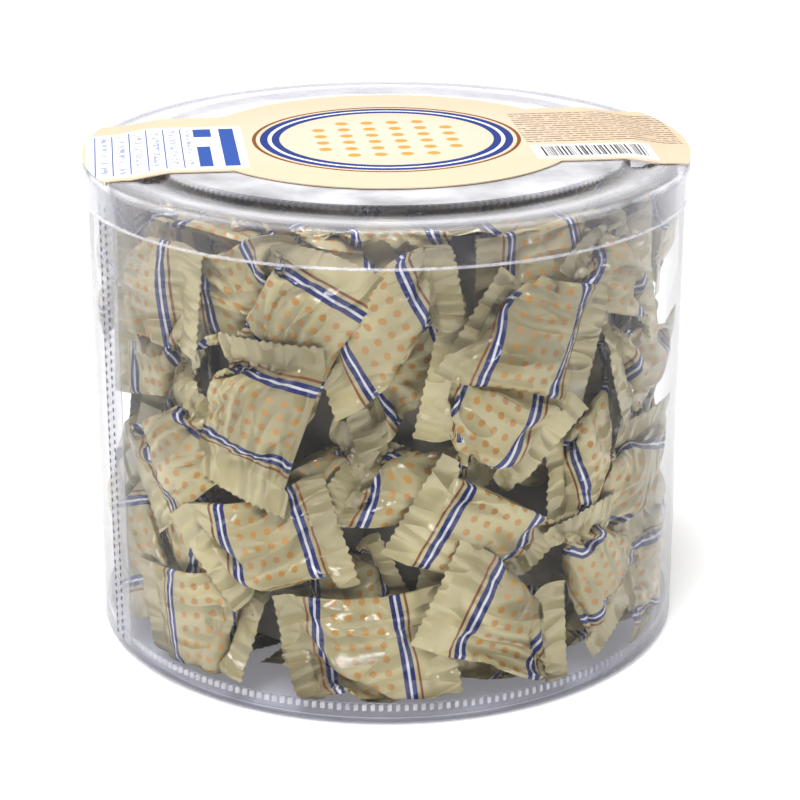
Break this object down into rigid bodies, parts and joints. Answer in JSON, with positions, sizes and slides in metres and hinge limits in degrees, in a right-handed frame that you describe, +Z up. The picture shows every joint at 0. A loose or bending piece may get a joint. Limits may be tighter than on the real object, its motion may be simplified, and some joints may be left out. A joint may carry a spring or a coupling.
{
  "type": "tub of wrapped hard candy",
  "caption": "Clear round plastic tub filled with flow-wrapped hard caramel candies, shut by a press-on lid with a printed card across it.",
  "frame": {"origin": "middle of the tub's underside, on the plane it stands on", "axes": "+Z up along the tub's own axis, -Y towards the viewer of the picture, +X to the viewer's right"},
  "size_m": [0.1884, 0.1884, 0.1543],
  "materials": {
    "clear_sheet": "clear, glossy rolled sheet",
    "clear_lid": "clear, glossy, faintly grey moulded sheet",
    "printed_card": "smooth coated card with a printed pattern",
    "cream_film": "satin printed film, cream"
  },
  "bodies": {
    "root": {"tub_wall": "clear_sheet", "base_cap": "clear_sheet", "lid": "clear_lid", "label": "printed_card", "candy_heap": "cream_film"}
  },
  "joints": []
}
